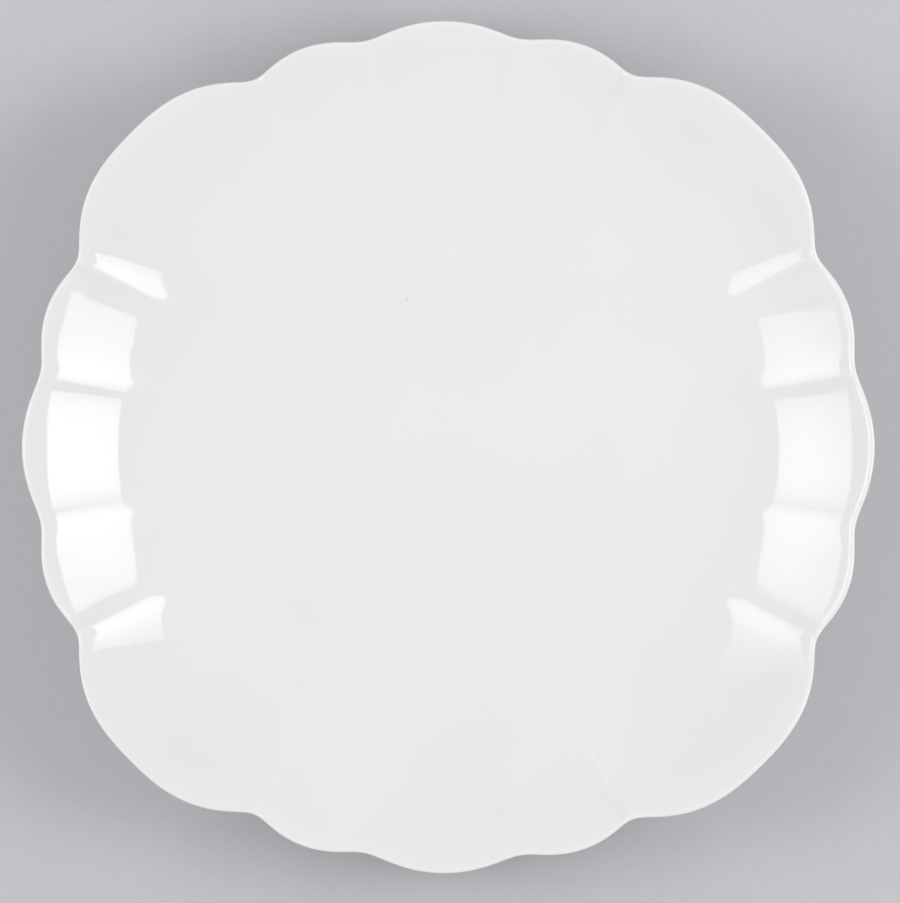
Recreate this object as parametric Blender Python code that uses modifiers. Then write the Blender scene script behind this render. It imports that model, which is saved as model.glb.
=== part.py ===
"""Square scalloped salad plate of glazed porcelain: one pressed body and the two coats of glaze on it.

The plate stands on its foot ring at Z = 0, with +Z up, its centre on the Z axis and its sides square to X and Y.
Lengths are in metres and turns about the Z axis are in radians.

Each piece is first turned as a round dish. Its points are then pushed in by the ridges that run from the notches
towards the well and by the lobes that lean in, and drawn out near the rim to the scalloped square outline.
"""

from math import asin, atan2, cos, cosh, exp, hypot, log, pi, radians, sin, sqrt, tanh

import bpy

# Outline seen from above: the outer arcs of round lobes, blended where they meet
WIDTH = 0.206  # from side to side, over the middle lobes
MIDDLE_LOBE_RADIUS = 0.0346
SMALL_LOBE_RADIUS = 0.0246
SMALL_LOBE_TURN = radians(19.3)  # from a side's middle to the small lobe beside it
SMALL_LOBE_SETBACK = 0.0004  # a small lobe's tip is this much nearer the centre than a middle lobe's
CORNER_ARC_RADIUS = 0.0297
CORNER_ARC_TURN = radians(4.5)  # from a corner's diagonal to each of the two arcs that round it
CORNER_STANDOUT = 0.0044  # a corner arc's tip is this much further from the centre than a middle lobe's
NOTCH_ROUNDING = 0.0017  # reach of the blend where two lobes meet

# Dish: a flat well that runs into the rim in one sweep
WELL_RADIUS = 0.053
RIM_CURVE_RADIUS = 0.080  # of the sweep, on the inside of the dish
WELL_WALL = 0.0050  # both coats of glaze included
LIP_WALL = 0.0020
RIM_BAND_SPARE = 0.0062  # added to the least width of the band that can be drawn to the outline without a fold
RIM_LIFT = 0.80  # rise of the rim for each unit of length that it is drawn out

# Ridges that run in from the notches: each has an inner flank towards the side's middle and an outer flank towards
# the corner, with these widths where the ridge starts and with that many times these widths at the lip
MIDDLE_RIDGE_ASIDE = radians(0.45)  # from where the two lobes meet on towards the corner
MIDDLE_RIDGE_HEIGHT = 0.00145
MIDDLE_RIDGE_INNER_FLANK = 0.0027
MIDDLE_RIDGE_OUTER_FLANK = 0.0120
MIDDLE_RIDGE_SPREAD = 1.4
CORNER_RIDGE_ASIDE = radians(-0.4)  # the other way, towards the side's middle
CORNER_RIDGE_HEIGHT = 0.00142
CORNER_RIDGE_INNER_FLANK = 0.0019
CORNER_RIDGE_OUTER_FLANK = 0.0040
CORNER_RIDGE_SPREAD = 0.57
RIDGE_OFFSET = 0.0060  # from the foot ring's fillet out to where a ridge starts
RIDGE_RUN_OUT = 0.0178  # length over which a ridge grows to its height

# Middle lobes and corners, whose walls lean in past those of the small lobes
MIDDLE_LEAN = 0.025  # length by which the wall leans in for each unit of length along it
CORNER_LEAN = 0.017
LEAN_OFFSET = 0.0037  # from the foot ring's fillet out to where the lean sets in
LEAN_EASE = 0.008  # length over which the lean sets in
LEAN_CHANGE = 0.003  # half the length over which the lean changes from lobe to lobe

# Foot ring
FOOT_OFFSET = 0.002  # from the edge of the well out to the middle of the ring
FOOT_WIDTH = 0.0036
FOOT_HEIGHT = 0.0026  # from the table to the underside around the ring
FOOT_FILLET = 0.0008  # where the ring meets the plate
FOOT_EDGE = 0.0004  # chamfer beside the bearing face
RECESS_DEPTH = 0.0024  # from the table to the glazed underside inside the ring

# Glaze
GLAZE_THICKNESS = 0.00035
BOND_GAP = 0.0003  # kept between the glaze and the body, which are fused on the real plate
BARE_FOOT = 0.0007  # height of the ring's edge that is wiped free of glaze

# Facets
MIDDLE_LOBE_STEPS = 8
SMALL_LOBE_STEPS = 6
CORNER_LOBE_STEPS = 12
RIM_STEPS = 5
BAND_STEPS = 3
LIP_STEPS = 4
UNDERSIDE_STEPS = 4
MERGE_DISTANCE = 0.00001
TURN_TOLERANCE = 1e-9
SMOOTH_ANGLE = radians(40)

SIDE_REACH = WIDTH / 2
QUARTER = pi / 2
CORNER_TURN = QUARTER / 2
BODY_DEPTH = GLAZE_THICKNESS + BOND_GAP  # the body lies this far below the glazed surface
WELL_HEIGHT = FOOT_HEIGHT + WELL_WALL
FOOT_RADIUS = WELL_RADIUS + FOOT_OFFSET
FOOT_OUTER = FOOT_RADIUS + FOOT_WIDTH / 2
FOOT_INNER = FOOT_RADIUS - FOOT_WIDTH / 2
FILLET_REACH = FOOT_OUTER + BODY_DEPTH + FOOT_FILLET  # from the plate's centre to the outside of the ring's fillet
RIDGE_START = FILLET_REACH + RIDGE_OFFSET
LEAN_START = FILLET_REACH + LEAN_OFFSET
LIP_REACH = SIDE_REACH - LIP_WALL / 2  # from the plate's centre to the middle of the lip's half round
LIP_TURN = asin((LIP_REACH - WELL_RADIUS) / (RIM_CURVE_RADIUS + LIP_WALL / 2))

# Each lobe: its turn from a side's middle, the distance of its tip from the centre, and its radius
MIDDLE_LOBE = (0.0, SIDE_REACH, MIDDLE_LOBE_RADIUS)
SMALL_LOBE = (SMALL_LOBE_TURN, SIDE_REACH - SMALL_LOBE_SETBACK, SMALL_LOBE_RADIUS)
NEAR_CORNER_ARC = (CORNER_TURN - CORNER_ARC_TURN, SIDE_REACH + CORNER_STANDOUT, CORNER_ARC_RADIUS)
FAR_CORNER_ARC = (CORNER_TURN + CORNER_ARC_TURN, SIDE_REACH + CORNER_STANDOUT, CORNER_ARC_RADIUS)
LOBES = (MIDDLE_LOBE, SMALL_LOBE, NEAR_CORNER_ARC, FAR_CORNER_ARC)


def clear_scene():
    for thing in list(bpy.data.objects):
        bpy.data.objects.remove(thing, do_unlink=True)


def s_curve(share):
    """Rises smoothly from 0 at a share of 0 to 1 at a share of 1, at a slope of 1.5 in the middle."""
    share = min(max(share, 0.0), 1.0)
    return share * share * (3.0 - 2.0 * share)


def folded(turn):
    """The turn from the nearest side's middle, by which all eight parts of the outline are alike."""
    return abs((turn + CORNER_TURN) % QUARTER - CORNER_TURN)


def lobe_edge(lobe, turn):
    """Distance from the plate's centre to the far side of a lobe's circle, along the ray at this turn."""
    lobe_turn, tip, radius = lobe
    centre = tip - radius
    across = centre * sin(turn - lobe_turn)
    return centre * cos(turn - lobe_turn) + sqrt(max(radius**2 - across**2, 0.0))


def outline(turn):
    """Distance from the plate's centre to its rim: the furthest lobe, blended with its neighbours."""
    edges = [lobe_edge(lobe, folded(turn)) for lobe in LOBES]
    furthest = max(edges)
    blend = sum(exp((edge - furthest) / NOTCH_ROUNDING) for edge in edges)
    return furthest + NOTCH_ROUNDING * log(blend)


def notch_turn(lobe, following):
    """The turn at which two neighbouring lobes reach equally far, found by halving."""
    low, high = lobe[0], following[0]
    while high - low > TURN_TOLERANCE:
        middle = (low + high) / 2
        if lobe_edge(lobe, middle) > lobe_edge(following, middle):
            low = middle
        else:
            high = middle
    return low


MIDDLE_RIDGE_TURN = notch_turn(MIDDLE_LOBE, SMALL_LOBE) + MIDDLE_RIDGE_ASIDE
CORNER_RIDGE_TURN = notch_turn(SMALL_LOBE, NEAR_CORNER_ARC) + CORNER_RIDGE_ASIDE

# Each ridge: its turn from a side's middle, its height, its two flanks and their spread
RIDGES = (
    (
        MIDDLE_RIDGE_TURN,
        MIDDLE_RIDGE_HEIGHT,
        MIDDLE_RIDGE_INNER_FLANK,
        MIDDLE_RIDGE_OUTER_FLANK,
        MIDDLE_RIDGE_SPREAD,
    ),
    (
        CORNER_RIDGE_TURN,
        CORNER_RIDGE_HEIGHT,
        CORNER_RIDGE_INNER_FLANK,
        CORNER_RIDGE_OUTER_FLANK,
        CORNER_RIDGE_SPREAD,
    ),
)


def ridge_push(reach, turn):
    """How far the ridges push the wall in: each is highest on its line and falls away over its flanks."""
    share = min(max((reach - RIDGE_START) / (LIP_REACH - RIDGE_START), 0.0), 1.0)
    push = 0.0
    for ridge_turn, height, inner_flank, outer_flank, spread in RIDGES:
        aside = (folded(turn) - ridge_turn) * reach
        flank = inner_flank if aside < 0.0 else outer_flank
        push += height / cosh(aside / (flank * (1.0 + (spread - 1.0) * share)))
    return push * s_curve((reach - RIDGE_START) / RIDGE_RUN_OUT)


def lean_push(reach, turn):
    """How far the walls of the middle lobes and of the corners lean in, changing smoothly to the small lobes."""
    past = max(reach - LEAN_START, 0.0)
    length = past**2 / (2 * LEAN_EASE) if past < LEAN_EASE else past - LEAN_EASE / 2
    middle = 0.5 - 0.5 * tanh((folded(turn) - MIDDLE_RIDGE_TURN) * reach / LEAN_CHANGE)
    corner = 0.5 + 0.5 * tanh((folded(turn) - CORNER_RIDGE_TURN) * reach / LEAN_CHANGE)
    return length * (MIDDLE_LEAN * middle + CORNER_LEAN * corner)


def wall_push(reach, turn):
    """How far the wall is pushed in, at this distance along it and this turn."""
    return ridge_push(reach, turn) + lean_push(reach, turn)


def lip_draw(turn):
    """How far the pushed-in lip of the round dish is drawn out, or in where it is less than 0, to the outline."""
    return outline(turn) - SIDE_REACH + wall_push(LIP_REACH, turn)


def lobe_stations(start, end, steps):
    """Turns from one ridge up to the next, closer together towards both."""
    middle = (start + end) / 2
    half = (end - start) / 2
    return [middle + half * sin(pi * (step / steps - 0.5)) for step in range(steps)]


def whole_turn_stations():
    """The turns round the plate at which it has points, lobe by lobe, with one on every ridge."""
    stations = []
    for quarter in range(4):
        side = quarter * QUARTER
        following = side + QUARTER
        stations += lobe_stations(side - MIDDLE_RIDGE_TURN, side + MIDDLE_RIDGE_TURN, MIDDLE_LOBE_STEPS)
        stations += lobe_stations(side + MIDDLE_RIDGE_TURN, side + CORNER_RIDGE_TURN, SMALL_LOBE_STEPS)
        stations += lobe_stations(side + CORNER_RIDGE_TURN, following - CORNER_RIDGE_TURN, CORNER_LOBE_STEPS)
        stations += lobe_stations(following - CORNER_RIDGE_TURN, following - MIDDLE_RIDGE_TURN, SMALL_LOBE_STEPS)
    return stations


STATIONS = whole_turn_stations()
DEEPEST_DRAW = max(-lip_draw(turn) for turn in STATIONS)
S_CURVE_SLOPE = 1.5
RIM_BAND = S_CURVE_SLOPE * DEEPEST_DRAW + RIM_BAND_SPARE
BAND_TURN = asin((LIP_REACH - RIM_BAND - WELL_RADIUS) / (RIM_CURVE_RADIUS + LIP_WALL / 2))


def dish_point(turn, radius):
    """A point of the profile at this turn round the centre of the rim's sweep."""
    return WELL_RADIUS + radius * sin(turn), WELL_HEIGHT + RIM_CURVE_RADIUS - radius * cos(turn)


def wall_reach(radius, height):
    """Distance of a profile's point along the dish's wall, alike for all points that face each other through it."""
    turn = atan2(radius - WELL_RADIUS, WELL_HEIGHT + RIM_CURVE_RADIUS - height)
    return dish_point(turn, RIM_CURVE_RADIUS + LIP_WALL / 2)[0]


def scalloped(radius, turn, height):
    """Where a point of the round dish goes: pushed in with the wall, then drawn to the outline and lifted."""
    reach = min(wall_reach(radius, height), LIP_REACH)
    drawn = s_curve(1.0 - (LIP_REACH - reach) / RIM_BAND) * lip_draw(turn)
    pulled = radius - wall_push(reach, turn) + drawn
    return pulled * cos(turn), pulled * sin(turn), height + RIM_LIFT * drawn


def evenly(start, end, steps):
    """Values from start to end, both included, in equal steps."""
    return [start + (end - start) * step / steps for step in range(steps + 1)]


def upper_profile(depth):
    """The dish's inside, from its middle to the lip, this deep below the glaze's surface."""
    turns = evenly(0.0, BAND_TURN, RIM_STEPS) + evenly(BAND_TURN, LIP_TURN, BAND_STEPS)[1:]
    return [(0.0, WELL_HEIGHT - depth)] + [dish_point(turn, RIM_CURVE_RADIUS + depth) for turn in turns]


def lip_profile(depth):
    """The half round of the lip, without its two ends, which belong to the inside and the underside."""
    centre_radius, centre_height = dish_point(LIP_TURN, RIM_CURVE_RADIUS + LIP_WALL / 2)
    round_radius = LIP_WALL / 2 - depth
    points = []
    for step in range(1, LIP_STEPS):
        slant = LIP_TURN + pi / 2 - pi * step / LIP_STEPS
        points.append((centre_radius + round_radius * cos(slant), centre_height + round_radius * sin(slant)))
    return points


def underside_profile(depth):
    """The underside, from the lip to the foot ring's fillet, through a wall that thickens inwards."""
    fillet_turn = asin((FILLET_REACH - WELL_RADIUS) / (RIM_CURVE_RADIUS + WELL_WALL))
    points = []
    for turn in evenly(LIP_TURN, BAND_TURN, BAND_STEPS) + evenly(BAND_TURN, fillet_turn, UNDERSIDE_STEPS)[1:]:
        wall = WELL_WALL + (LIP_WALL - WELL_WALL) * turn / LIP_TURN
        points.append(dish_point(turn, RIM_CURVE_RADIUS + wall - depth))
    return points


def outer_profile(depth):
    """Everything outside the foot ring's bare edge, from the dish's middle over the lip and down the ring."""
    wall = FOOT_OUTER + BODY_DEPTH - depth
    foot = [(wall, FOOT_HEIGHT - FOOT_FILLET), (wall, BARE_FOOT)]
    return upper_profile(depth) + lip_profile(depth) + underside_profile(depth) + foot


def recess_profile(depth):
    """The recess inside the foot ring, from the ring's bare edge up and in to its middle."""
    wall = FOOT_INNER - BODY_DEPTH + depth
    ceiling = RECESS_DEPTH + depth
    return [(wall, BARE_FOOT), (wall, RECESS_DEPTH - FOOT_FILLET), (wall - FOOT_FILLET, ceiling), (0.0, ceiling)]


def body_profile():
    """The porcelain under the glaze, with the foot ring's bare bearing face on the table."""
    bearing = [
        (FOOT_OUTER, FOOT_EDGE),
        (FOOT_OUTER - FOOT_EDGE, 0.0),
        (FOOT_INNER + FOOT_EDGE, 0.0),
        (FOOT_INNER, FOOT_EDGE),
    ]
    return outer_profile(BODY_DEPTH) + bearing + recess_profile(BODY_DEPTH)


def glaze_coat_profile():
    """The coat outside the ring: out along its surface and back along the side that faces the body."""
    return outer_profile(0.0) + outer_profile(GLAZE_THICKNESS)[::-1]


def base_glaze_profile():
    """The coat inside the ring: out along the side that faces the body and back along its surface."""
    return recess_profile(GLAZE_THICKNESS)[::-1] + recess_profile(0.0)


def turned_mesh(name, profile):
    """A round body: the profile, of radius and height, swung once about the Z axis."""
    line = bpy.data.meshes.new(name + "_profile")
    points = [(radius, 0.0, height) for radius, height in profile]
    line.from_pydata(points, [(index, index + 1) for index in range(len(points) - 1)], [])
    guide = bpy.data.objects.new(name + "_profile", line)
    bpy.context.scene.collection.objects.link(guide)
    screw = guide.modifiers.new("Turn", "SCREW")
    screw.steps = len(STATIONS)
    screw.render_steps = len(STATIONS)
    screw.use_merge_vertices = True
    screw.merge_threshold = MERGE_DISTANCE
    mesh = bpy.data.meshes.new_from_object(guide.evaluated_get(bpy.context.evaluated_depsgraph_get()))
    mesh.name = name
    bpy.data.objects.remove(guide)
    bpy.data.meshes.remove(line)
    return mesh


def scallop_mesh(mesh):
    """Moves each point of a round body to its station and draws it to the scalloped outline."""
    for vertex in mesh.vertices:
        x, y, height = vertex.co
        station = round(atan2(y, x) / (2 * pi) * len(STATIONS)) % len(STATIONS)
        vertex.co = scalloped(hypot(x, y), STATIONS[station], height)


def finish(name, colour, roughness):
    """A non-metal surface of this colour."""
    material = bpy.data.materials.new(name)
    material.use_nodes = True
    shader = material.node_tree.nodes["Principled BSDF"]
    shader.inputs["Base Color"].default_value = (*colour, 1.0)
    shader.inputs["Roughness"].default_value = roughness
    shader.inputs["Metallic"].default_value = 0.0
    return material


def add_piece(collection, name, profile, material):
    mesh = turned_mesh(name, profile)
    scallop_mesh(mesh)
    mesh.materials.append(material)
    mesh.shade_smooth()
    mesh.set_sharp_from_angle(angle=SMOOTH_ANGLE)
    piece = bpy.data.objects.new(name, mesh)
    collection.objects.link(piece)
    # The shorter diagonal is the same one on both sides of a gap, so the facets there stay parallel
    piece.modifiers.new("Facets", "TRIANGULATE").quad_method = "SHORTEST_DIAGONAL"


def main():
    clear_scene()
    plate = bpy.data.collections.new("square_salad_plate")
    bpy.context.scene.collection.children.link(plate)
    add_piece(plate, "porcelain_body", body_profile(), finish("biscuit porcelain", (0.82, 0.80, 0.77), 0.6))
    add_piece(plate, "glaze_coat", glaze_coat_profile(), finish("clear gloss glaze", (0.84, 0.84, 0.83), 0.08))
    add_piece(plate, "base_glaze", base_glaze_profile(), finish("clear base glaze", (0.83, 0.83, 0.82), 0.12))


main()
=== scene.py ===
"""Looks of the square scalloped salad plate: its glazed dish, its glazed base and its bare foot.

Lengths are in metres, turns about the Z axis are in radians, and +Z is up out of the dish. Each
piece is a profile of radius and height, turned about the Z axis, drawn out near the rim to the
scalloped outline, and pushed in along the ridges that run from the outline's notches towards the
well.
"""

from collections import namedtuple
from math import asin, cos, exp, pi, radians, sin

import bpy
import numpy as np
from mathutils import Matrix, Vector


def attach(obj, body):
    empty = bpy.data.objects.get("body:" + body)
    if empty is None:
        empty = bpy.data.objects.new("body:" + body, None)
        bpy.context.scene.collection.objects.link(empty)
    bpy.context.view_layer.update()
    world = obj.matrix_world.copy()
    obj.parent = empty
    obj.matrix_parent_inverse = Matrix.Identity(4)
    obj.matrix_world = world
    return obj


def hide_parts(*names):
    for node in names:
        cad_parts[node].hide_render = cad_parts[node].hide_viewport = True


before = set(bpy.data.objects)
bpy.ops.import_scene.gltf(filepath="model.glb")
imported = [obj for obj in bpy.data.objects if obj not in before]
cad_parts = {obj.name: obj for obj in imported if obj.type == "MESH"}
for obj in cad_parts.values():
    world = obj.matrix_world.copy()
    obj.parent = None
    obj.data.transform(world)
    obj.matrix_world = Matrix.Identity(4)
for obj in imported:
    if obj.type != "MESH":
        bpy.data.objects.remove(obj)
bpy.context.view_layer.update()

Lobe = namedtuple("Lobe", "turn tip radius")
Ridge = namedtuple("Ridge", "turn height inner_flank outer_flank spread")
Sway = namedtuple("Sway", "length direction phase height")

# Outline seen from above: the outer arcs of round lobes, blended where they meet
WIDTH = 0.206
MIDDLE_LOBE_RADIUS = 0.0346
SMALL_LOBE_RADIUS = 0.0246
SMALL_LOBE_TURN = radians(19.3)
SMALL_LOBE_SETBACK = 0.0004
CORNER_ARC_RADIUS = 0.0297
CORNER_ARC_TURN = radians(4.5)
CORNER_STANDOUT = 0.0044
NOTCH_ROUNDING = 0.0017
LOBE_DRIFT = 0.0149  # how far round towards -X the lobes at +Y and -Y drifted in the making

# Dish: a flat well that runs into the rim in one sweep
WELL_RADIUS = 0.053
RIM_CURVE_RADIUS = 0.080
WELL_WALL = 0.0050
LIP_WALL = 0.0020
RIM_BAND = 0.0077  # width of the band inside the lip that is drawn out to the outline
RIM_LIFT = 0.80  # how far the band rises for each unit that it is drawn out

# Ridges: turn from a side's middle, height, width of the flank towards the side's middle and of the
# one towards the corner where the ridge starts, and how many times as wide they are at the lip
MIDDLE_RIDGE = Ridge(radians(11.53), 0.00145, 0.0027, 0.0120, 1.4)
CORNER_RIDGE = Ridge(radians(26.83), 0.00142, 0.0019, 0.0040, 0.57)
RIDGE_OFFSET = 0.0060  # from the foot ring's fillet out to where a ridge starts
RIDGE_RUN_OUT = 0.0178
FLANK_LIMIT = 40.0  # flank widths beyond which a ridge is flat

# Crease: a finer ridge on the inner flank of each middle ridge, worn lower on the plate's -Y side
MIDDLE_CREASE = Ridge(radians(9.7), 0.00024, 0.0005, 0.0030, 1.0)
CREASE_WEAR = 0.65  # share of its height that the mould has lost there
WEAR_CHANGE = 0.1  # how soon the wear sets in past the X axis, as a sine of the turn

# Leaning lobes: how much the wall of a middle lobe and of a corner leans in past a small lobe's
MIDDLE_LEAN = 0.025
CORNER_LEAN = 0.017
LEAN_OFFSET = 0.0037  # from the foot ring's fillet out to where the lean sets in
LEAN_EASE = 0.008  # length over which it sets in
LEAN_CHANGE = 0.003  # half the length over which it changes from lobe to lobe

# Foot ring
FOOT_OFFSET = 0.002
FOOT_WIDTH = 0.0036
FOOT_HEIGHT = 0.0026
FOOT_FILLET = 0.0008
FOOT_EDGE = 0.0004
RECESS_DEPTH = 0.0024

# Glaze
GLAZE_THICKNESS = 0.00035
BOND_GAP = 0.0003
BARE_FOOT = 0.0007
BEAD_HEIGHT = 0.0005  # of the rounded edge at which the glaze stops on the foot ring
BEAD_CLEARANCE = 0.00003

# Lip of the glaze: a close rounding outside, and one inside that the sponge left rounder at +X
LIP_OUTER_EDGE = 0.0004
LIP_INNER_EDGE = 0.0011
LIP_INNER_SWING = 0.0006

# Rise and fall of the line to which the foot ring was wiped clean, the height above that line at
# which it has faded out, and its waves: how many go round, phase and share
WIPE_HEIGHT = 0.00012
WIPE_FADE = 2 * BEAD_HEIGHT
WIPE_WAVES = ((7, 0.8, 0.6), (12, 2.9, 0.4))

# Slow waves left in the wall by pressing and firing, with their directions in degrees
SWAYS = (
    Sway(0.031, 17.0, 0.4, 0.000010),
    Sway(0.023, 71.0, 2.1, 0.000007),
    Sway(0.027, 118.0, 4.0, 0.000008),
    Sway(0.019, 156.0, 5.3, 0.000005),
)

# Points along the profile and round the plate
MIDDLE_LOBE_STEPS = 40
SMALL_LOBE_STEPS = 32
CORNER_LOBE_STEPS = 64
GATHER = 0.7  # how strongly the points gather towards the notches, from 0, evenly spaced, to 1
FINE = {
    "well": 5,
    "sweep": 36,
    "band": 16,
    "lip": 18,
    "underside": 18,
    "fillet": 6,
    "wall": 2,
    "bead": 5,
}
COARSE = {
    "well": 2,
    "sweep": 12,
    "band": 5,
    "lip": 5,
    "underside": 7,
    "fillet": 2,
    "wall": 1,
    "bead": 2,
}

# Surface patterns, as real sizes
CLOUD_SIZE = 0.045  # of the clouds that firing leaves in the white
RIPPLE_SIZE = 0.0028
RIPPLE_HEIGHT = 0.000004
HAZE_SIZE = 0.012
SPECK_PLACE = (-0.0101, 0.0362, 0.0076)  # of the one iron speck, in the well
SPECK_SIZE = 0.0008  # from its middle out to where it has faded
LIP_FADE = 0.0060
POOL_WIDTH = 0.006
CREST_POWER = 4  # keeps the thinner glaze, and the painted highlight laid on with it, to the top of a ridge
CREST_THINNING_AND_PAINTED_LIGHT = 0.3  # of the glaze on a ridge, and of the painted highlight on its crest, as a share of what it is on the lip
TURNING_PITCH = 0.0011  # from ring to ring, coarser than the tool's real marks so that they show
TURNING_DEPTH = 0.000004
TURNING_WANDER = 1.5  # of the rings from true circles, in radians of their wave
WAVE_PITCH = 2 * pi / 20  # from ring to ring of Blender's wave texture at a scale of 1
GRAIN_SIZE = 0.00035  # coarser than the real grain so that it shows
GRAIN_HEIGHT = 0.00003
SMEAR_SIZE = 0.009
FIBRE_SIZE = 0.002  # of the clouds in which the paper's fibres lie
CERAMIC_IOR = 1.5

# Strengths of the patterns: the values from which to which each counts, and what it is mapped on to
CLOUDS = {"From Min": 0.35, "From Max": 0.65}
# share of the thinner glaze's white, which also carries painted light on the lip and a painted
# highlight on the ridges' crests
THINNESS_AND_PAINTED_LIGHT = {"To Max": 0.4}
POOLING = {"To Max": 0.6}
SPECKING = {
    "From Min": 0.1 * SPECK_SIZE,
    "From Max": 0.9 * SPECK_SIZE,
    "To Min": 0.2,
    "To Max": 0.0,
}
DISH_ROUGHNESS = {"From Min": 0.3, "From Max": 0.7, "To Min": 0.03, "To Max": 0.05}
BASE_ROUGHNESS = {"From Min": 0.3, "From Max": 0.7, "To Min": 0.09, "To Max": 0.16}
GRAIN = {"From Min": 0.35, "From Max": 0.7}
SCUFFS = {"From Min": 0.4, "From Max": 0.7, "To Max": 0.4}
FOOT_ROUGHNESS = {"To Min": 0.8, "To Max": 0.6}
FLOOR_ROUGHNESS = 0.9

# Colours
DISH_WHITE = "#EFEFEF"
DISH_CLOUD = "#EDEDED"
BASE_WHITE = "#ECECEA"
BASE_CLOUD = "#E6E6E4"
# lighter white of thinner glaze, which also serves as painted light on the lip and a painted highlight
# on the ridges' crests
THIN_GLAZE_AND_PAINTED_LIGHT = "#F5F4F2"
POOLED_GLAZE = "#E6E9E8"
IRON_SPECK = "#8F8A84"
FOOT_PALE = "#E9E4DB"
FOOT_DARK = "#DFD8CC"
FOOT_SCUFF = "#B7B3AB"
FLOOR_PALE = "#CCCBCF"
FLOOR_DARK = "#C6C5C9"
ROOM_SEEN = "#E4E4E6"

# A Mix node's setting for colours, and its sockets by number, since their names aren't unique
MIX_COLOURS = {"data_type": "RGBA"}
SHARE = 0
GROUND = 6
OVERLAY = 7
MIXED = 2

# Stage
FLOOR_REACH = 6.0
FLOOR_HEIGHT = -0.00005
ROOM_LEVEL = 0.44
ROOM_SLANT = (-0.09, -0.05, 0.0)  # how much stronger its light is from +X, +Y and above
ROOM_SIDES = (0.94, 0.0, 0.0)  # how much stronger it is from both ends of each axis
SENSOR = 36.0
CAMERA_HEIGHT = 1.5
CAMERA_ASIDE = (0.00040, -0.00106)
RIM_HEIGHT = 0.0225  # of the lip's outermost line, at which the picture's scale is taken
PICTURE_ROWS = 903
ROW_HEIGHT = 0.000242

# Softboxes: how far each is turned down from facing the plate, its edges and its brightest spot
# along Y and up its own face from the middle of its stand, that spot's reach, and its brightness
SOFTBOX_DISTANCE = 0.7
SOFTBOX_RISE = radians(45)
RIGHT_SOFTBOX = {
    "tilt": 0.406,
    "along": (-0.186, 0.265),
    "across": (-0.195, 0.168),
    "hot_spot": (0.014, -0.084),
    "hot_reach": (0.244, 0.513),
    "radiance": 5.4,
}
LEFT_SOFTBOX = {
    "tilt": 0.485,
    "along": (-0.164, 0.354),
    "across": (-0.208, 0.182),
    "hot_spot": (0.034, 0.003),
    "hot_reach": (0.227, 0.388),
    "radiance": 4.1,
}

# Worked out from the sizes above
SIDE_REACH = WIDTH / 2
QUARTER = pi / 2
CORNER_TURN = QUARTER / 2
BODY_DEPTH = GLAZE_THICKNESS + BOND_GAP
WELL_HEIGHT = FOOT_HEIGHT + WELL_WALL
FOOT_RADIUS = WELL_RADIUS + FOOT_OFFSET
FOOT_OUTER = FOOT_RADIUS + FOOT_WIDTH / 2
FOOT_INNER = FOOT_RADIUS - FOOT_WIDTH / 2
FILLET_REACH = FOOT_OUTER + BODY_DEPTH + FOOT_FILLET
RIDGE_START = FILLET_REACH + RIDGE_OFFSET
LEAN_START = FILLET_REACH + LEAN_OFFSET
LIP_REACH = SIDE_REACH - LIP_WALL / 2
LIP_TURN = asin((LIP_REACH - WELL_RADIUS) / (RIM_CURVE_RADIUS + LIP_WALL / 2))
BAND_TURN = asin((LIP_REACH - RIM_BAND - WELL_RADIUS) / (RIM_CURVE_RADIUS + LIP_WALL / 2))
FILLET_TURN = asin((FILLET_REACH - WELL_RADIUS) / (RIM_CURVE_RADIUS + WELL_WALL))

# Each lobe: its turn from a side's middle, the distance of its tip from the centre, and its radius
LOBES = (
    Lobe(0.0, SIDE_REACH, MIDDLE_LOBE_RADIUS),
    Lobe(SMALL_LOBE_TURN, SIDE_REACH - SMALL_LOBE_SETBACK, SMALL_LOBE_RADIUS),
    Lobe(CORNER_TURN - CORNER_ARC_TURN, SIDE_REACH + CORNER_STANDOUT, CORNER_ARC_RADIUS),
    Lobe(CORNER_TURN + CORNER_ARC_TURN, SIDE_REACH + CORNER_STANDOUT, CORNER_ARC_RADIUS),
)


def s_curve(share):
    """Three times the square less twice the cube of a share: a smooth rise from 0 at 0 to 1 at 1."""
    share = np.clip(share, 0.0, 1.0)
    return share**2 * (3.0 - 2.0 * share)


def folded(turn):
    """The turn from the nearest side's middle, by which all eight parts of the outline are alike."""
    return np.abs((turn + CORNER_TURN) % QUARTER - CORNER_TURN)


def outline(turn):
    """Distance from the plate's centre to its rim: the far sides of the lobes' circles along this
    ray, joined by the logarithm of the sum of their exponentials, which is the furthest one with
    rounded changes."""
    edges = []
    for lobe in LOBES:
        centre = lobe.tip - lobe.radius
        away = folded(turn) - lobe.turn
        across = centre * np.sin(away)
        edges.append(centre * np.cos(away) + np.sqrt(np.maximum(lobe.radius**2 - across**2, 0.0)))
    return NOTCH_ROUNDING * np.logaddexp.reduce(np.array(edges) / NOTCH_ROUNDING)


def dish_point(turn, radius):
    """A point on a circle about the centre of the rim's sweep: out from the well's edge by the sine
    of the turn, and down from that centre by its cosine."""
    out = WELL_RADIUS + radius * np.sin(turn)
    height = WELL_HEIGHT + RIM_CURVE_RADIUS - radius * np.cos(turn)
    return np.stack(np.broadcast_arrays(out, height), axis=-1)


def wall_reach(profile):
    """Distance of a profile's points along the dish's wall: that of the middle of the lip's wall at
    the same turn, so it is alike for points that face each other through the wall."""
    drop = WELL_HEIGHT + RIM_CURVE_RADIUS - profile[..., 1]
    turn = np.arctan2(profile[..., 0] - WELL_RADIUS, drop)
    return dish_point(turn, RIM_CURVE_RADIUS + LIP_WALL / 2)[..., 0]


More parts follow.
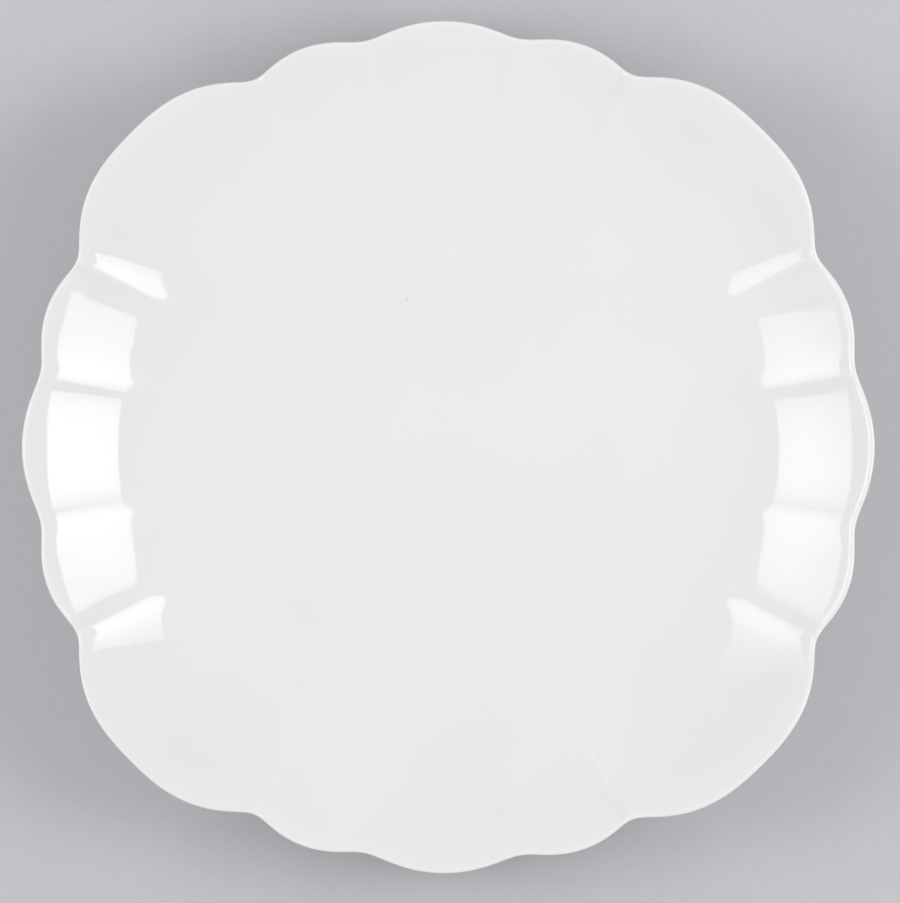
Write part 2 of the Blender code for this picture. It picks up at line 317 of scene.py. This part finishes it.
def crest(reach, turn):
    """How far the ridges push the wall in: one over the hyperbolic cosine of the distance from each
    ridge's line in flank widths, times the ridge's height, growing along an S curve from where the
    ridge starts. The crease's height falls to its worn one along a hyperbolic tangent."""
    share = np.clip((reach - RIDGE_START) / (LIP_REACH - RIDGE_START), 0.0, 1.0)
    worn = 0.5 - 0.5 * np.tanh(np.sin(turn) / WEAR_CHANGE)
    crease_left = 1.0 - CREASE_WEAR * worn
    push = 0.0
    for ridge, left in ((MIDDLE_RIDGE, 1.0), (CORNER_RIDGE, 1.0), (MIDDLE_CREASE, crease_left)):
        aside = (folded(turn) - ridge.turn) * reach
        flank = np.where(aside < 0.0, ridge.inner_flank, ridge.outer_flank)
        flank = flank * (1.0 + (ridge.spread - 1.0) * share)
        push = push + left * ridge.height / np.cosh(np.minimum(np.abs(aside / flank), FLANK_LIMIT))
    return push * s_curve((reach - RIDGE_START) / RIDGE_RUN_OUT)


def lean(reach, turn):
    """How far the lobes' walls lean in: a length that sets in as a parabola and goes on straight,
    times the lean of the middle lobe or the corner, which change over to the small lobe along
    hyperbolic tangents."""
    past = np.maximum(reach - LEAN_START, 0.0)
    length = np.where(past < LEAN_EASE, past**2 / (2 * LEAN_EASE), past - LEAN_EASE / 2)
    middle = 0.5 - 0.5 * np.tanh((folded(turn) - MIDDLE_RIDGE.turn) * reach / LEAN_CHANGE)
    corner = 0.5 + 0.5 * np.tanh((folded(turn) - CORNER_RIDGE.turn) * reach / LEAN_CHANGE)
    return length * (MIDDLE_LEAN * middle + CORNER_LEAN * corner)


def around(profile, turns):
    """The same profile at every turn: rows of profile points, columns of turns."""
    return np.repeat(profile[:, None, :], len(turns), axis=1)


def scalloped(profile, turns):
    """Points of the profile (rows) at each turn (columns): pushed in by the ridges and the leaning
    lobes, drawn out and up to the outline along an S curve over the rim band, drifted round by a
    share of the turn's sine, and raised by the slow waves of the wall."""
    reach = np.minimum(wall_reach(profile), LIP_REACH)
    turn = turns[None, :]
    lip_draw = outline(turn) - SIDE_REACH + crest(LIP_REACH, turn) + lean(LIP_REACH, turn)
    drawn = s_curve(1.0 - (LIP_REACH - reach) / RIM_BAND) * lip_draw
    radius = profile[..., 0] - crest(reach, turn) - lean(reach, turn) + drawn
    drifted = turn + LOBE_DRIFT * np.sin(turn)
    x = radius * np.cos(drifted)
    y = radius * np.sin(drifted)
    z = profile[..., 1] + RIM_LIFT * drawn
    return np.stack([x, y, z + sway(x, y)], axis=-1)


def sway(x, y):
    """Slow waves of the wall: sines along fixed directions, summed, and faded out along an S curve
    towards the foot ring."""
    rise = 0.0
    for wave in SWAYS:
        along = x * cos(radians(wave.direction)) + y * sin(radians(wave.direction))
        rise = rise + wave.height * np.sin(2 * pi * along / wave.length + wave.phase)
    return rise * s_curve((np.hypot(x, y) - FILLET_REACH) / RIDGE_RUN_OUT)


def upper_profile(depth, steps):
    """The dish's inside, this deep below the glaze: straight out over the well, then up the sweep's
    arc to the lip."""
    well = np.linspace(0.0, WELL_RADIUS, steps["well"], endpoint=False)
    flat = np.column_stack([well, np.full(len(well), WELL_HEIGHT - depth)])
    sweep = np.linspace(0.0, BAND_TURN, steps["sweep"], endpoint=False)
    band = np.linspace(BAND_TURN, LIP_TURN, steps["band"], endpoint=False)
    return np.vstack([flat, dish_point(np.concatenate([sweep, band]), RIM_CURVE_RADIUS + depth)])


def lip_profile(depth, steps):
    """The lip: a half circle about the middle of the wall, from the inside over to the underside."""
    middle = dish_point(LIP_TURN, RIM_CURVE_RADIUS + LIP_WALL / 2)
    slant = LIP_TURN + np.linspace(pi / 2, -pi / 2, steps["lip"], endpoint=False)
    return middle + (LIP_WALL / 2 - depth) * np.column_stack([np.cos(slant), np.sin(slant)])


def sponged_lip(turns, steps):
    """The glaze's lip at every turn: an arc that levels off the wall, a closer arc from there over
    to plumb, and a quadratic curve down and in to the underside. It reaches as far out as the half
    circle of the lip."""
    wall = dish_point(LIP_TURN, RIM_CURVE_RADIUS)
    under = dish_point(LIP_TURN, RIM_CURVE_RADIUS + LIP_WALL)
    edge = LIP_REACH + LIP_WALL / 2
    top = edge - LIP_OUTER_EDGE
    inner = LIP_INNER_EDGE + LIP_INNER_SWING * np.cos(turns)
    start = top - inner * sin(LIP_TURN)
    top_height = wall[1] + (start - wall[0]) * np.tan(LIP_TURN) + inner * (1.0 - cos(LIP_TURN))
    third = steps["lip"] // 3
    rows = []
    for radius, slants in ((inner, (LIP_TURN, 0.0)), (LIP_OUTER_EDGE, (0.0, -pi / 2))):
        slant = np.linspace(*slants, third, endpoint=False)[:, None]
        out = top - radius * np.sin(slant)
        height = top_height - radius * (1.0 - np.cos(slant))
        rows.append(np.stack(np.broadcast_arrays(out, height), axis=-1))
    plumb = np.stack(np.broadcast_arrays(edge, top_height - LIP_OUTER_EDGE), axis=-1)
    corner = np.array([edge, under[1] + (edge - under[0]) * np.tan(LIP_TURN)])
    rows.append(bend(plumb, corner, under, third))
    return np.concatenate(rows)


def underside_profile(depth, steps):
    """The underside, this deep inside the glaze: the sweep's arc again, outside a wall that thickens
    evenly with the turn from lip to foot."""
    band = np.linspace(LIP_TURN, BAND_TURN, steps["band"] // 2, endpoint=False)
    sweep = np.linspace(BAND_TURN, FILLET_TURN, steps["underside"], endpoint=False)
    turn = np.concatenate([band, sweep])
    wall = WELL_WALL + (LIP_WALL - WELL_WALL) * turn / LIP_TURN
    return dish_point(turn, RIM_CURVE_RADIUS + wall - depth)


def bend(start, corner, end, steps):
    """A quadratic curve from start to end, pulled towards the corner, without its end."""
    share = np.linspace(0.0, 1.0, steps, endpoint=False).reshape(-1, *[1] * np.ndim(start))
    return (1 - share) ** 2 * start + 2 * share * (1 - share) * corner + share**2 * end


def foot_profile(depth, steps):
    """The fillet in which the glaze pools, a quadratic curve, and the foot ring's outer wall straight
    down to the edge of the glaze."""
    wall_radius = FOOT_OUTER + BODY_DEPTH - depth
    wall = WELL_WALL + (LIP_WALL - WELL_WALL) * FILLET_TURN / LIP_TURN
    start = dish_point(FILLET_TURN, RIM_CURVE_RADIUS + wall - depth)
    corner = np.array([wall_radius, FOOT_HEIGHT + depth])
    end = np.array([wall_radius, FOOT_HEIGHT - FOOT_FILLET])
    heights = np.linspace(end[1], BARE_FOOT + BEAD_HEIGHT, steps["wall"], endpoint=False)
    straight = np.column_stack([np.full(len(heights), wall_radius), heights])
    return np.vstack([bend(start, corner, end, steps["fillet"]), straight])


def bead_profile(surface, back, steps):
    """The rounded edge of the glaze: a quarter of an ellipse from its surface in to the porcelain
    that it stops on."""
    slant = np.linspace(0.0, pi / 2, steps["bead"])
    radius = back + (surface - back) * np.cos(slant)
    return np.column_stack([radius, BARE_FOOT + BEAD_HEIGHT * (1.0 - np.sin(slant))])


def outer_profile(depth, steps):
    """Everything outside the foot ring, from the dish's middle over the lip and down the wall."""
    return np.vstack(
        [
            upper_profile(depth, steps),
            lip_profile(depth, steps),
            underside_profile(depth, steps),
            foot_profile(depth, steps),
        ]
    )


def recess_profile(depth, steps):
    """The recess inside the foot ring: straight up its wall, round the fillet's quadratic curve, and
    in along the flat ceiling to the middle."""
    wall_radius = FOOT_INNER - BODY_DEPTH + depth
    ceiling = RECESS_DEPTH + depth
    shoulder = RECESS_DEPTH - FOOT_FILLET
    heights = np.linspace(BARE_FOOT + BEAD_HEIGHT, shoulder, steps["wall"], endpoint=False)
    straight = np.column_stack([np.full(len(heights), wall_radius), heights])
    start = np.array([wall_radius, shoulder])
    corner = np.array([wall_radius, ceiling])
    end = np.array([wall_radius - FOOT_FILLET, ceiling])
    across = np.linspace(end[0], 0.0, steps["well"] + 1)
    flat = np.column_stack([across, np.full(len(across), ceiling)])
    return np.vstack([straight, bend(start, corner, end, steps["fillet"]), flat])


def bearing_profile(steps):
    """The bare foot: a quarter circle down the ring's outer edge, straight across its bearing face,
    and a quarter circle up the inner edge."""
    slant = np.linspace(0.0, pi / 2, steps["bead"])
    fall = FOOT_EDGE * (1.0 - np.sin(slant))
    outer = np.column_stack([FOOT_OUTER - FOOT_EDGE * (1.0 - np.cos(slant)), fall])
    inner = np.column_stack([FOOT_INNER + FOOT_EDGE * (1.0 - np.cos(slant)), fall])[::-1]
    return np.vstack([outer, inner])


def stations():
    """Turns round the plate, lobe by lobe from notch to notch: a mix of even steps and of a sine's,
    which gather towards both notches."""
    middle = MIDDLE_CREASE.turn
    corner = CORNER_RIDGE.turn
    marks = np.array([-middle, middle, corner, QUARTER - corner, QUARTER - middle])
    counts = (MIDDLE_LOBE_STEPS, SMALL_LOBE_STEPS, CORNER_LOBE_STEPS, SMALL_LOBE_STEPS)
    quarter = []
    for start, end, count in zip(marks[:-1], marks[1:], counts):
        share = np.linspace(-1.0, 1.0, count, endpoint=False)
        spread = (1.0 - GATHER) * share + GATHER * np.sin(share * pi / 2)
        quarter.append((start + end) / 2 + spread * (end - start) / 2)
    quarter = np.concatenate(quarter)
    return np.concatenate([quarter + side * QUARTER for side in range(4)])


def turned_mesh(name, points, shares):
    """A closed mesh from rows of points round the Z axis: the first and last row are one point each,
    the rows between are joined by quads, and the two end points by fans. Shares are named values for
    each row and turn."""
    rows, turns = points.shape[:2]
    inner = points[1:-1].reshape(-1, 3)
    coordinates = np.vstack([points[0, :1], inner, points[-1, :1]])
    column = np.arange(turns)
    following = (column + 1) % turns
    row = 1 + turns * np.arange(rows - 3)[:, None]
    below = row + turns
    quads = np.stack([row + column, below + column, below + following, row + following], axis=-1)
    last = len(coordinates) - 1
    first_fan = np.stack([np.zeros(turns, int), 1 + column, 1 + following], axis=-1)
    last_row = last - turns
    last_fan = np.stack([np.full(turns, last), last_row + following, last_row + column], axis=-1)
    mesh = bpy.data.meshes.new(name)
    faces = quads.reshape(-1, 4).tolist() + first_fan.tolist() + last_fan.tolist()
    mesh.from_pydata(coordinates.tolist(), [], faces)
    for label, share in shares.items():
        whole = np.concatenate([share[0, :1], share[1:-1].ravel(), share[-1, :1]])
        attribute = mesh.attributes.new(label, "FLOAT", "POINT")
        attribute.data.foreach_set("value", whole.astype(np.float32))
    mesh.shade_smooth()
    return mesh


def add_piece(name, mesh, material, node):
    """A piece that stands for a node of the frame and moves with the plate's one body."""
    mesh.materials.append(material)
    piece = bpy.data.objects.new(name, mesh)
    bpy.context.scene.collection.objects.link(piece)
    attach(piece, "root")
    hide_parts(node)


def wiped(points, profile, turns):
    """Lets the line to which the foot ring was wiped rise and fall: sines round the ring, summed, at
    full height on the glaze's edge and gone along an S curve a little above its bead."""
    wave = sum(share * np.sin(count * turns + phase) for count, phase, share in WIPE_WAVES)
    near = 1.0 - s_curve((profile[..., 1] - BARE_FOOT) / WIPE_FADE)
    points[..., 2] += WIPE_HEIGHT * near * wave[None, :]
    return points


def glaze_shares(profile, turns, above_rows):
    """Where the glaze is thinner, which is also where light is painted, and where it has pooled, each
    from 0 to 1: thinner on the ridges' crests inside the dish, by a power of their height, with a
    painted highlight there, and along an S curve on the lip, with painted light that brightens it,
    pooled in the ridges' grooves underneath and along an S curve round the foot ring."""
    reach = wall_reach(profile)
    height = np.minimum(crest(reach, turns[None, :]) / MIDDLE_RIDGE.height, 1.0)
    ridges = height**CREST_POWER
    above = (np.arange(len(profile)) < above_rows)[:, None]
    lip = s_curve(1.0 - np.abs(reach - SIDE_REACH) / LIP_FADE)
    foot = s_curve(1.0 - (reach - FOOT_OUTER) / POOL_WIDTH) * ~above
    # the thinner glaze's share on the ridges' crests and the lip, which also lays on a painted
    # highlight and painted light
    thin_and_painted_light = np.maximum(np.where(above, CREST_THINNING_AND_PAINTED_LIGHT * ridges, 0.0), lip)
    pooled = np.maximum(np.where(above, 0.0, ridges), foot)
    return {"thin_glaze_and_painted_light": thin_and_painted_light, "pooled_glaze": pooled}


def glazed_dish_mesh():
    """The glaze outside the foot ring: its profile goes out along its surface, round its edge, and
    back along the porcelain."""
    turns = stations()
    surface = outer_profile(0.0, FINE)
    edge = bead_profile(FOOT_OUTER + BODY_DEPTH, FOOT_OUTER + BEAD_CLEARANCE, FINE)
    back = outer_profile(GLAZE_THICKNESS, COARSE)[::-1]
    profile = around(np.vstack([surface, edge, back]), turns)
    lip_start = len(upper_profile(0.0, FINE))
    lip_end = lip_start + FINE["lip"]
    profile[lip_start:lip_end] = sponged_lip(turns, FINE)
    points = wiped(scalloped(profile, turns), profile, turns)
    return turned_mesh("glazed_dish", points, glaze_shares(profile, turns, lip_end))


def glazed_base_mesh():
    """The glaze inside the foot ring: its profile goes out along the porcelain, round its edge, and
    back along its surface."""
    turns = stations()
    surface = recess_profile(0.0, FINE)
    edge = bead_profile(FOOT_INNER - BODY_DEPTH, FOOT_INNER - BEAD_CLEARANCE, FINE)[1:][::-1]
    back = recess_profile(GLAZE_THICKNESS, COARSE)[::-1]
    profile = around(np.vstack([back, edge, surface]), turns)
    points = wiped(scalloped(profile, turns), profile, turns)
    pooled = s_curve(1.0 - (FOOT_INNER - profile[..., 0]) / POOL_WIDTH)
    return turned_mesh("glazed_base", points, {"thin_glaze_and_painted_light": 0.0 * pooled, "pooled_glaze": pooled})


def porcelain_body_mesh():
    """The porcelain under the glaze, and the foot ring's bare edge and bearing face, which is worn
    along an S curve of its height."""
    turns = stations()
    outside = outer_profile(BODY_DEPTH, COARSE)
    bearing = bearing_profile(FINE)
    recess = recess_profile(BODY_DEPTH, COARSE)
    profile = around(np.vstack([outside, bearing, recess]), turns)
    worn = s_curve(1.0 - profile[..., 1] / FOOT_EDGE)
    return turned_mesh("porcelain_body", scalloped(profile, turns), {"worn_foot": worn})


def linear(hex_colour):
    """An sRGB hex colour as linear red, green, blue and alpha."""
    channels = [int(hex_colour[start : start + 2], 16) / 255 for start in (1, 3, 5)]
    straight = [c / 12.92 if c <= 0.04045 else ((c + 0.055) / 1.055) ** 2.4 for c in channels]
    return (*straight, 1.0)


def add_node(tree, kind, settings=None, values=None, links=None):
    """Adds a shader node with its own settings, constant inputs and links from other nodes."""
    node = tree.nodes.new("ShaderNode" + kind)
    for name, setting in (settings or {}).items():
        setattr(node, name, setting)
    for name, value in (values or {}).items():
        node.inputs[name].default_value = value
    for name, output in (links or {}).items():
        tree.links.new(output, node.inputs[name])
    return node


def new_material(name):
    """An empty material, its node tree and the place on the piece that its patterns are drawn by."""
    material = bpy.data.materials.new(name)
    material.use_nodes = True
    material.node_tree.nodes.clear()
    place = add_node(material.node_tree, "TexCoord").outputs["Object"]
    return material, material.node_tree, place


def join_surface(tree, colour, roughness, relief, depth):
    """Ends a ceramic material: its colour and roughness over a relief of this depth."""
    bump = add_node(tree, "Bump", None, {"Distance": depth}, {"Height": relief})
    links = {"Base Color": colour, "Roughness": roughness, "Normal": bump.outputs["Normal"]}
    shader = add_node(tree, "BsdfPrincipled", None, {"IOR": CERAMIC_IOR}, links)
    add_node(tree, "OutputMaterial", None, None, {"Surface": shader.outputs["BSDF"]})


def glaze_colour(tree, place, white, cloudy):
    """The white of the glazed porcelain: clouded a little by the firing, lighter and warmer where the
    glaze is thinner, which also paints light on the lip and a highlight on the ridges' crests, cooler
    where it has pooled, with one pale iron speck in the well."""
    pattern = {"Scale": 1 / CLOUD_SIZE, "Detail": 2.0}
    cloud = add_node(tree, "TexNoise", None, pattern, {"Vector": place})
    clouded = add_node(tree, "MapRange", None, CLOUDS, {"Value": cloud.outputs["Fac"]})
    whites = {GROUND: linear(white), OVERLAY: linear(cloudy)}
    colour = add_node(tree, "Mix", MIX_COLOURS, whites, {SHARE: clouded.outputs["Result"]})
    # the thinner glaze's share, which also paints light on the lip and a highlight on the ridges'
    # crests
    thin_and_painted_light = add_node(tree, "Attribute", {"attribute_name": "thin_glaze_and_painted_light"})
    pooled = add_node(tree, "Attribute", {"attribute_name": "pooled_glaze"})
    speck = add_node(tree, "VectorMath", {"operation": "DISTANCE"}, {1: SPECK_PLACE}, {0: place})
    layers = (
        (thin_and_painted_light.outputs["Fac"], THINNESS_AND_PAINTED_LIGHT, THIN_GLAZE_AND_PAINTED_LIGHT),
        (pooled.outputs["Fac"], POOLING, POOLED_GLAZE),
        (speck.outputs["Value"], SPECKING, IRON_SPECK),
    )
    for value, strength, overlay in layers:
        share = add_node(tree, "MapRange", None, strength, {"Value": value})
        links = {SHARE: share.outputs["Result"], GROUND: colour.outputs[MIXED]}
        colour = add_node(tree, "Mix", MIX_COLOURS, {OVERLAY: linear(overlay)}, links)
    return colour.outputs[MIXED]


def gloss_glaze():
    """Clear gloss glaze over white porcelain, dipped and fired: a hard, even shine over a clean
    white, with the faint ripple of melted glass."""
    material, tree, place = new_material("white porcelain, dipped clear glaze")
    colour = glaze_colour(tree, place, DISH_WHITE, DISH_CLOUD)
    pattern = {"Scale": 1 / RIPPLE_SIZE, "Detail": 1.0}
    ripple = add_node(tree, "TexNoise", None, pattern, {"Vector": place})
    pattern = {"Scale": 1 / HAZE_SIZE, "Detail": 3.0}
    haze = add_node(tree, "TexNoise", None, pattern, {"Vector": place})
    shine = add_node(tree, "MapRange", None, DISH_ROUGHNESS, {"Value": haze.outputs["Fac"]})
    join_surface(tree, colour, shine.outputs["Result"], ripple.outputs["Fac"], RIPPLE_HEIGHT)
    return material


def base_glaze():
    """The same glaze on the base, thinner and over the fine rings that the forming tool left: a
    softer shine."""
    material, tree, place = new_material("white porcelain, brushed clear glaze")
    colour = glaze_colour(tree, place, BASE_WHITE, BASE_CLOUD)
    rings = add_node(
        tree,
        "TexWave",
        {"wave_type": "RINGS", "rings_direction": "Z"},
        {
            "Scale": WAVE_PITCH / TURNING_PITCH,
            "Distortion": TURNING_WANDER,
            "Detail": 2.0,
            "Detail Scale": 1.0,
        },
        {"Vector": place},
    )
    pattern = {"Scale": 1 / HAZE_SIZE, "Detail": 3.0}
    haze = add_node(tree, "TexNoise", None, pattern, {"Vector": place})
    shine = add_node(tree, "MapRange", None, BASE_ROUGHNESS, {"Value": haze.outputs["Fac"]})
    join_surface(tree, colour, shine.outputs["Result"], rings.outputs["Fac"], TURNING_DEPTH)
    return material


def biscuit_porcelain():
    """Bare fired porcelain, wiped and ground on the foot: matte and a little warm, with a fine grain,
    and greyed on the bearing face by shelves and tables."""
    material, tree, place = new_material("fired porcelain, wiped bare")
    pattern = {"Scale": 1 / GRAIN_SIZE, "Detail": 4.0}
    grain = add_node(tree, "TexNoise", None, pattern, {"Vector": place})
    grained = add_node(tree, "MapRange", None, GRAIN, {"Value": grain.outputs["Fac"]})
    colours = {GROUND: linear(FOOT_PALE), OVERLAY: linear(FOOT_DARK)}
    bare = add_node(tree, "Mix", MIX_COLOURS, colours, {SHARE: grained.outputs["Result"]})
    pattern = {"Scale": 1 / SMEAR_SIZE, "Detail": 3.0}
    smear = add_node(tree, "TexNoise", None, pattern, {"Vector": place})
    smeared = add_node(tree, "MapRange", None, SCUFFS, {"Value": smear.outputs["Fac"]})
    worn = add_node(tree, "Attribute", {"attribute_name": "worn_foot"}).outputs["Fac"]
    links = {0: worn, 1: smeared.outputs["Result"]}
    scuffed = add_node(tree, "Math", {"operation": "MULTIPLY"}, None, links)
    links = {SHARE: scuffed.outputs["Value"], GROUND: bare.outputs[MIXED]}
    colour = add_node(tree, "Mix", MIX_COLOURS, {OVERLAY: linear(FOOT_SCUFF)}, links).outputs[MIXED]
    matte = add_node(tree, "MapRange", None, FOOT_ROUGHNESS, {"Value": worn})
    join_surface(tree, colour, matte.outputs["Result"], grain.outputs["Fac"], GRAIN_HEIGHT)
    return material


def add_floor():
    """A plain pale floor of matt paper, far wider than any view."""
    material, tree, place = new_material("pale matt paper")
    pattern = {"Scale": 1 / FIBRE_SIZE, "Detail": 3.0}
    fibre = add_node(tree, "TexNoise", None, pattern, {"Vector": place})
    colours = {GROUND: linear(FLOOR_PALE), OVERLAY: linear(FLOOR_DARK)}
    paper = add_node(tree, "Mix", MIX_COLOURS, colours, {SHARE: fibre.outputs["Fac"]})
    links = {"Base Color": paper.outputs[MIXED]}
    shader = add_node(tree, "BsdfPrincipled", None, {"Roughness": FLOOR_ROUGHNESS}, links)
    add_node(tree, "OutputMaterial", None, None, {"Surface": shader.outputs["BSDF"]})
    mesh = bpy.data.meshes.new("floor")
    corners = FLOOR_REACH * np.array([(-1, -1), (1, -1), (1, 1), (-1, 1)])
    points = np.column_stack([corners, np.full(len(corners), FLOOR_HEIGHT)])
    mesh.from_pydata(points.tolist(), [], [(0, 1, 2, 3)])
    mesh.materials.append(material)
    floor = bpy.data.objects.new("floor", mesh)
    bpy.context.scene.collection.objects.link(floor)


def add_softbox(name, side, tilt, along, across, hot_spot, hot_reach, radiance):
    """A flat rectangular light beside the plate, at 45 degrees above it, at +X where side is 1 and at
    -X where it is -1. Its brightness falls from the hot spot as a bell curve: one over e to the power
    of the squared distance in reaches."""
    turned = SOFTBOX_RISE + tilt
    stand = SOFTBOX_DISTANCE * Vector((side * sin(SOFTBOX_RISE), 0.0, cos(SOFTBOX_RISE)))
    facing = Vector((side * sin(turned), 0.0, cos(turned)))
    up = Vector((-side * cos(turned), 0.0, sin(turned)))
    length = along[1] - along[0]
    breadth = across[1] - across[0]
    light = bpy.data.lights.new(name, "AREA")
    light.shape = "RECTANGLE"
    light.size = length
    light.size_y = breadth
    light.energy = radiance * pi * length * breadth
    light.use_nodes = True
    tree = light.node_tree
    tree.nodes.clear()
    centre = ((hot_spot[0] - along[0]) / length, (hot_spot[1] - across[0]) / breadth, 0.0)
    if side < 0:  # the lamp's own X axis points to -Y there
        centre = (1.0 - centre[0], centre[1], 0.0)
    spot = add_node(tree, "NewGeometry").outputs["Parametric"]
    away = add_node(tree, "VectorMath", {"operation": "SUBTRACT"}, {1: centre}, {0: spot})
    reach = (length / hot_reach[0], breadth / hot_reach[1], 0.0)
    links = {0: away.outputs["Vector"]}
    spread = add_node(tree, "VectorMath", {"operation": "MULTIPLY"}, {1: reach}, links)
    links = {0: spread.outputs["Vector"], 1: spread.outputs["Vector"]}
    square = add_node(tree, "VectorMath", {"operation": "DOT_PRODUCT"}, None, links)
    links = {1: square.outputs["Value"]}
    glow = add_node(tree, "Math", {"operation": "POWER"}, {0: exp(-1.0)}, links)
    emission = add_node(tree, "Emission", None, None, {"Strength": glow.outputs["Value"]})
    add_node(tree, "OutputLight", None, None, {"Surface": emission.outputs["Emission"]})
    lamp = bpy.data.objects.new(name, light)
    middle = stand + Vector((0.0, sum(along) / 2, 0.0)) + up * sum(across) / 2
    axes = Matrix((Vector((0.0, side, 0.0)), up, facing)).transposed().to_4x4()
    lamp.matrix_world = Matrix.Translation(middle) @ axes
    lamp.visible_camera = False
    bpy.context.scene.collection.objects.link(lamp)


def add_room():
    """Soft light from all round, growing evenly from one side of the room to the other and with the
    square of the slant towards both its sides, in a room that is seen as plain and pale."""
    world = bpy.data.worlds.new("room")
    world.use_nodes = True
    tree = world.node_tree
    tree.nodes.clear()
    direction = add_node(tree, "TexCoord").outputs["Generated"]
    slant = add_node(tree, "VectorMath", {"operation": "DOT_PRODUCT"}, {1: ROOM_SLANT}, {0: direction})
    links = {0: direction, 1: direction}
    square = add_node(tree, "VectorMath", {"operation": "MULTIPLY"}, None, links)
    links = {0: square.outputs["Vector"]}
    sides = add_node(tree, "VectorMath", {"operation": "DOT_PRODUCT"}, {1: ROOM_SIDES}, links)
    links = {0: slant.outputs["Value"]}
    slanted = add_node(tree, "Math", {"operation": "ADD"}, {1: ROOM_LEVEL}, links)
    links = {0: slanted.outputs["Value"], 1: sides.outputs["Value"]}
    level = add_node(tree, "Math", {"operation": "ADD"}, None, links)
    fill = add_node(tree, "Background", None, None, {"Strength": level.outputs["Value"]})
    seen = add_node(tree, "Background", None, {"Color": linear(ROOM_SEEN), "Strength": 1.0})
    rays = add_node(tree, "LightPath").outputs
    shown = rays["Is Camera Ray"]
    for ray in ("Is Glossy Ray", "Is Transmission Ray"):
        links = {0: shown, 1: rays[ray]}
        shown = add_node(tree, "Math", {"operation": "MAXIMUM"}, None, links).outputs["Value"]
    links = {0: shown, 1: fill.outputs["Background"], 2: seen.outputs["Background"]}
    both = add_node(tree, "MixShader", None, None, links)
    add_node(tree, "OutputWorld", None, None, {"Surface": both.outputs["Shader"]})
    bpy.context.scene.world = world


def add_camera():
    """Straight above the plate, a long way off, with +Y up the picture."""
    lens = bpy.data.cameras.new("camera")
    lens.sensor_width = SENSOR
    lens.lens = SENSOR * (CAMERA_HEIGHT - RIM_HEIGHT) / (PICTURE_ROWS * ROW_HEIGHT)
    camera = bpy.data.objects.new("camera", lens)
    camera.location = (*CAMERA_ASIDE, CAMERA_HEIGHT)
    bpy.context.scene.collection.objects.link(camera)
    bpy.context.scene.camera = camera


def main():
    """Makes the pieces, the stage and the camera."""
    glaze = gloss_glaze()
    add_piece("glazed_dish", glazed_dish_mesh(), glaze, "glaze_coat")
    add_piece("glazed_base", glazed_base_mesh(), base_glaze(), "base_glaze")
    bare = biscuit_porcelain()
    add_piece("bare_porcelain", porcelain_body_mesh(), bare, "porcelain_body")
    add_floor()
    add_softbox("right_softbox", 1, **RIGHT_SOFTBOX)
    add_softbox("left_softbox", -1, **LEFT_SOFTBOX)
    add_room()
    add_camera()
    bpy.context.scene.view_settings.view_transform = "Standard"


main()
